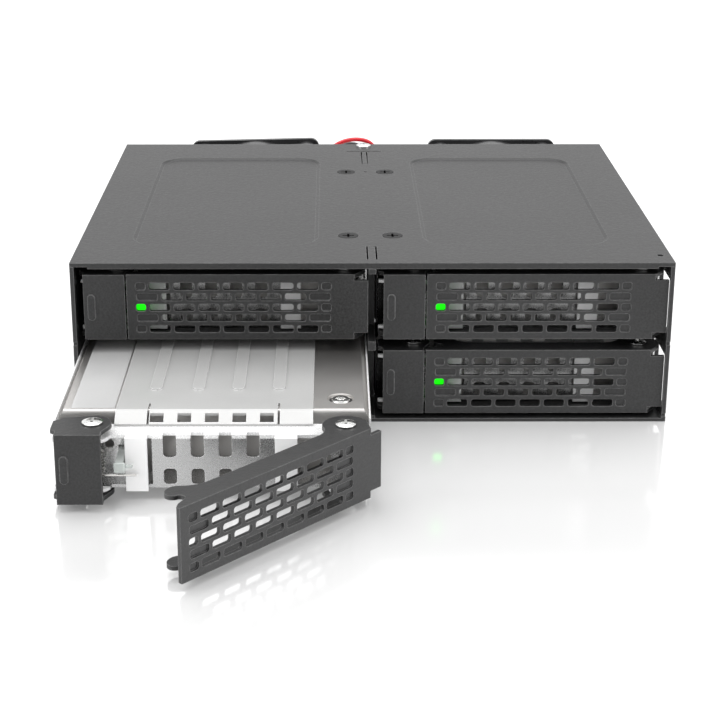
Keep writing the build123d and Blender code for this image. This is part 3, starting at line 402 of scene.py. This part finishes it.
M = {
    "black_steel": powder("powder_black", (0.003, 0.003, 0.003), (0.020, 0.020, 0.0205)),
    "bright_sheet": sheet_metal("zinc_sheet", (0.80, 0.80, 0.81), 0.30),
    "drive_metal": cast_metal("drive_aluminium", (0.62, 0.605, 0.59), 0.40),
    "black_plastic": plastic("plastic_black", (0.022, 0.022, 0.023), 0.42),
    "fan_plastic": plastic("plastic_fan", (0.020, 0.020, 0.021), 0.30, 900.0),
    "white_plastic": plastic("plastic_natural", (0.78, 0.76, 0.70), 0.38),
    "board": solder_mask("board_green"),
    "socket_metal": sheet_metal("socket_shell", (0.62, 0.62, 0.61), 0.28, "y"),
    "bright_screw": screw_metal("screw_nickel", (0.86, 0.86, 0.85), 0.18),
    "black_screw": screw_metal("screw_black", (0.05, 0.05, 0.052), 0.34),
    "spring_steel": screw_metal("spring_wire", (0.70, 0.69, 0.67), 0.24),
    "clear_plastic": clear_pipe("pipe_clear"),
    "wire_red": rubbery("insulation_red", (0.62, 0.012, 0.022)),
    "wire_black": rubbery("insulation_black", (0.018, 0.018, 0.02)),
}

slot_of = {s["node"]: s["material_slot"] for s in frame["record"]["subparts"]}
for name, obj in nodes.items():
    obj.data.materials.clear()
    obj.data.materials.append(M[slot_of[name]])
closed_sheet, open_sheet, lid = tray_sheet("tray_sheet_closed", 0.0), tray_sheet("tray_sheet_open", OUT["lower_left"]), lid_metal("lid_aluminium")
# the lids in the closed bays get painted shade
lid_shaded = lid_metal("lid_aluminium_shaded", 0.8)
for bay in BAYS:
    nodes["tray_frame_" + bay].data.materials[0] = open_sheet if bay == "lower_left" else closed_sheet
    nodes["drive_lid_" + bay].data.materials[0] = lid if bay == "lower_left" else lid_shaded
nodes["cover_screws"].data.materials[0] = cover_screw_metal("cover_screw")
label_stock, lamp_green = paper("label_stock"), lamp("lamp_green")
gold = screw_metal("contact_gold", (0.80, 0.60, 0.26), 0.22)
chip_black = plastic("chip_epoxy", (0.02, 0.02, 0.021), 0.5, 2200.0)
ceramic = plastic("chip_ceramic", (0.42, 0.34, 0.26), 0.4, 2200.0)


# ---------------------------------------------------------------- mesh pieces
def local(bay, u, d, z):
    """A bay's own place (mm: u from its left limit, d behind the front, z above its base) in the row frame."""
    return Vector((BAY_X[bay] + u / 1000, FRONT + d / 1000 - OUT[bay], BAY_Z[bay] + z / 1000))


def piece(name, bm, body, slot, *mats, sharp=35):
    bmesh.ops.recalc_face_normals(bm, faces=bm.faces)
    me = bpy.data.meshes.new(name)
    bm.to_mesh(me)
    bm.free()
    me.shade_smooth()
    me.set_sharp_from_angle(angle=math.radians(sharp))
    for m in mats or (M[slot],):
        me.materials.append(m)
    o = bpy.data.objects.new(name, me)
    scene.collection.objects.link(o)
    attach(o, body)
    return o


def add_box(bm, lo, hi, r=0.0, seg=2, mat=0):
    old = set(bm.faces)
    vs = bmesh.ops.create_cube(bm, size=1.0)["verts"]
    for v in vs:
        v.co = Vector([lo[i] + (v.co[i] + 0.5) * (hi[i] - lo[i]) for i in range(3)])
    if r:
        edges = list({e for v in vs for e in v.link_edges})
        bmesh.ops.bevel(bm, geom=edges, offset=r, segments=seg, affect="EDGES", profile=0.5)
    for f in bm.faces:
        if f not in old:
            f.material_index = mat


def add_rings(bm, centre, rings, closed=True):
    """rings are lists of (x, y, z) around centre, joined in order; the last one is closed with a face."""
    loops = [[bm.verts.new(centre + Vector(p)) for p in ring] for ring in rings]
    n = len(loops[0])
    for a, b in zip(loops, loops[1:]):
        for i in range(n):
            bm.faces.new((a[i], a[(i + 1) % n], b[(i + 1) % n], b[i]))
    if closed:
        bm.faces.new(loops[-1])
        bm.faces.new(list(reversed(loops[0])))


def circle(r, z, n=48, lobes=0, depth=0.0):
    return [((r + depth * math.cos(lobes * t)) * math.cos(t), (r + depth * math.cos(lobes * t)) * math.sin(t), z)
            for t in (2 * math.pi * i / n for i in range(n))]


for bay in BAYS:
    tray = "tray_" + bay
    # bare label on the case, left of the lid: a thin sheet with rounded corners
    lo, hi = local(bay, 3.3, 17.6, 16.0), local(bay, 13.2, 100.0, 16.06)
    bm = bmesh.new()
    add_box(bm, lo, hi, 0.000025, 1)
    piece("label_" + bay, bm, tray, "drive_metal", label_stock)
    # lid screw in its recess: flanged head with a six-lobe socket
    bm = bmesh.new()
    c = local(bay, 64.2, 23.4, 15.3)
    k = 1e-3
    add_rings(bm, c, [[tuple(v * k for v in p) for p in ring] for ring in (
        circle(2.75, 0.0), circle(2.75, 0.18), circle(2.6, 0.3), circle(2.1, 0.32), circle(2.0, 0.42), circle(1.95, 0.62),
        circle(1.7, 0.68), circle(1.05, 0.68, 48, 6, 0.16), circle(0.95, 0.2, 48, 6, 0.14))])
    piece("lid_screw_" + bay, bm, tray, "bright_screw")
    # rounded front tip of the light pipe
    bm = bmesh.new()
    lo, hi = local(bay, 14.45, 2.0, 7.0), local(bay, 17.05, 2.75, 9.4)
    add_box(bm, lo, hi, 0.00035, 5)
    if bay == "lower_left":
        add_box(bm, local(bay, 14.9, 3.3, 7.6), local(bay, 18.5, 4.2, 8.4), 0.0003, 3)
    piece("pipe_tip_" + bay, bm, tray, "clear_plastic", M["clear_plastic"] if bay == "lower_left" else lamp_green)


# ---------------------------------------------------------------- fan leads
PLUG_END_Y = 67.1
LEADS = {
    "red_left": ([(-13.4, 66.6, 33.0), (-11.6, 67.2, 36.9), (-7.6, 67.9, 40.2), (-2.6, 68.3, 41.3), (1.8, 68.3, 40.6),
                  (4.1, 68.3, 37.9), (2.6, 68.3, 35.0), (-0.9, 68.1, 34.0), (-3.95, PLUG_END_Y, 34.9)], 0.0320, "wire_red"),
    "black_left": ([(-13.4, 68.6, 30.2), (-11.4, 70.2, 34.0), (-8.2, 71.2, 37.6), (-3.8, 71.5, 39.2), (0.4, 71.3, 37.9),
                    (1.2, 71.2, 34.4), (-1.4, 71.0, 31.9), (-4.9, 70.4, 32.2), (-6.45, PLUG_END_Y, 34.9)], 0.0326, "wire_black"),
    "red_right": ([(20.4, 66.6, 30.4), (18.3, 68.6, 32.6), (17.0, 72.2, 34.6), (14.4, 75.4, 35.9), (10.4, 76.4, 36.1),
                   (6.9, 74.9, 35.2), (6.3, 71.6, 33.6), (9.0, 69.7, 32.6), (12.2, 69.6, 33.4), (13.45, PLUG_END_Y, 34.9)],
                  0.0326, "wire_red"),
    "black_right": ([(20.4, 68.6, 29.2), (18.0, 70.9, 30.6), (16.4, 74.6, 31.9), (13.2, 77.2, 33.2), (9.0, 77.6, 34.2),
                     (5.4, 75.6, 34.9), (4.4, 72.0, 35.4), (6.6, 69.5, 36.2), (9.8, 69.0, 36.3), (10.95, PLUG_END_Y, 34.9)],
                    0.0327, "wire_black"),
}
for name, (points, length, colour) in LEADS.items():
    curve = bpy.data.curves.new("lead_" + name, "CURVE")
    curve.dimensions = "3D"
    curve.bevel_depth = 0.00065
    curve.bevel_resolution = 5
    curve.resolution_u = 16
    curve.use_fill_caps = True
    line = curve.splines.new("NURBS")
    line.points.add(len(points) - 1)
    for p, (x, y, z) in zip(line.points, points):
        p.co = (x / 1000, y / 1000, z / 1000, 1.0)
    line.order_u = 3
    line.use_endpoint_u = True
    lead = bpy.data.objects.new("lead_" + name, curve)
    scene.collection.objects.link(lead)
    curve.materials.append(M[colour])
    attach(lead, "root")
    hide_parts("fan_lead_" + ("red_" if "red" in name else "black_") + name.split("_")[1])


# ---------------------------------------------------------------- floor, light, background
def floor_material():
    m = Mat("floor_white")
    cloud = m.noise(3.0, 2.0, 0.5)
    m.put(color=m.ramp(cloud, (0.3, (0.88, 0.88, 0.88)), (0.7, (0.90, 0.90, 0.90))), metal=0.42, rough=0.13, ior=1.6,
          emit_color=(1.0, 1.0, 1.0), emit=0.12)
    return m.mat


bm = bmesh.new()
bmesh.ops.create_grid(bm, x_segments=8, y_segments=8, size=3.0)
floor_mesh = bpy.data.meshes.new("floor")
bm.to_mesh(floor_mesh)
bm.free()
floor_mesh.materials.append(floor_material())
floor = bpy.data.objects.new("floor", floor_mesh)
scene.collection.objects.link(floor)
floor.location = (0, 0, -0.00005)

world = bpy.data.worlds.new("studio")
scene.world = world
world.use_nodes = True
wt = world.node_tree
wt.nodes.clear()
w_out = wt.nodes.new("ShaderNodeOutputWorld")
w_bg = wt.nodes.new("ShaderNodeBackground")
w_coord = wt.nodes.new("ShaderNodeTexCoord")
w_sep = wt.nodes.new("ShaderNodeSeparateXYZ")
w_ramp = wt.nodes.new("ShaderNodeValToRGB")
w_ramp.color_ramp.elements[0].position = 0.0
w_ramp.color_ramp.elements[0].color = (0.92, 0.92, 0.92, 1)
w_ramp.color_ramp.elements[1].position = 0.6
w_ramp.color_ramp.elements[1].color = (1.0, 1.0, 1.0, 1)
wt.links.new(w_coord.outputs["Generated"], w_sep.inputs[0])
wt.links.new(w_sep.outputs[2], w_ramp.inputs[0])
wt.links.new(w_ramp.outputs[0], w_bg.inputs["Color"])
w_bg.inputs["Strength"].default_value = 0.95
wt.links.new(w_bg.outputs[0], w_out.inputs[0])


def softbox(name, at, towards, size, power, color=(1, 1, 1)):
    data = bpy.data.lights.new(name, "AREA")
    data.shape = "RECTANGLE"
    data.size, data.size_y = size
    data.energy = power
    data.color = color
    o = bpy.data.objects.new(name, data)
    scene.collection.objects.link(o)
    o.location = at
    o.rotation_euler = (Vector(towards) - Vector(at)).to_track_quat("-Z", "Y").to_euler()
    return o


softbox("top", (0.0, 0.15, 1.0), (0, 0, 0), (1.2, 1.0), 9.0)
sheen = softbox("sheen", (0.0, 1.35, 0.50), (0, 0, 0.02), (2.4, 0.9), 1.4)
sheen.visible_camera = False
softbox("left", (-0.9, -0.5, 0.6), (0, -0.05, 0.02), (0.7, 0.7), 5.0)
softbox("right", (0.9, -0.4, 0.5), (0, -0.05, 0.02), (0.6, 0.6), 3.0)

scene.view_settings.view_transform = "Standard"
scene.view_settings.look = "None"
scene.view_settings.exposure = 0.0
scene.view_settings.gamma = 1.0
